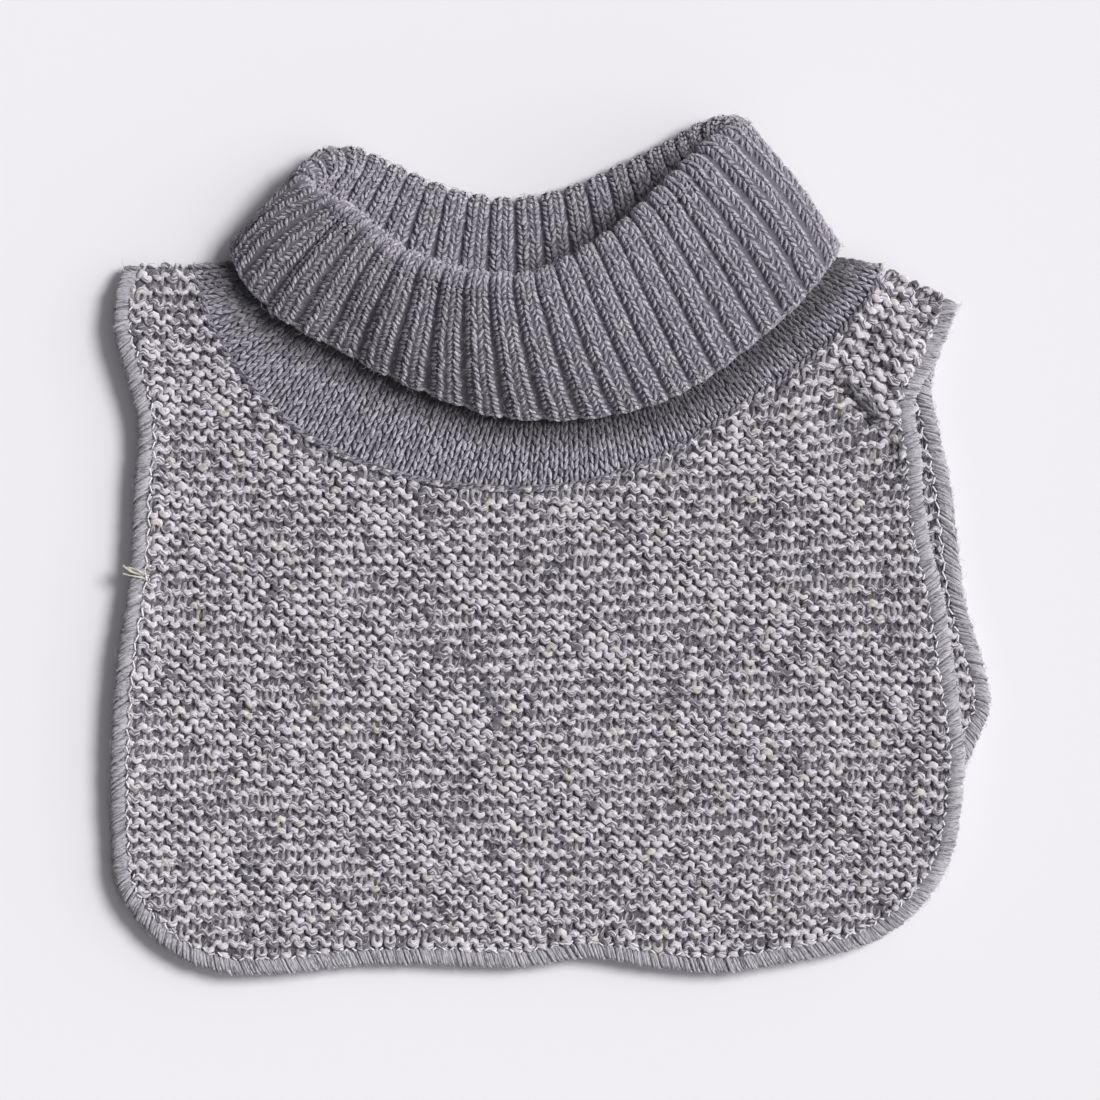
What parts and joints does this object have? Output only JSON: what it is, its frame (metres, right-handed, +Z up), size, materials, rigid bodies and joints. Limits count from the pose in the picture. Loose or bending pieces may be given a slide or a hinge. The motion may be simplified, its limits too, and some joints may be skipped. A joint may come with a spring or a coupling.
{
  "type": "knitted neck warmer",
  "caption": "Knitted neck warmer lying flat: ribbed turn-down collar on a plain yoke, with a marled front and back bib and a thick stitched hem.",
  "frame": {"origin": "middle of the bounding box's underside, where the back of the neck warmer lies on a surface", "axes": "+Z up out of the front of the neck warmer as it lies on its back, +Y from the lower hem to the collar, +X to the wearer's left"},
  "size_m": [0.3152, 0.307, 0.0392],
  "materials": {
    "rib_wool": "soft ribbed knit",
    "plain_wool": "soft plain knit",
    "marled_wool": "marled purl knit",
    "hem_yarn": "dense overcast thread"
  },
  "bodies": {
    "root": {"collar": "rib_wool", "yoke": "plain_wool", "bib": "marled_wool", "hem": "hem_yarn"}
  },
  "joints": []
}
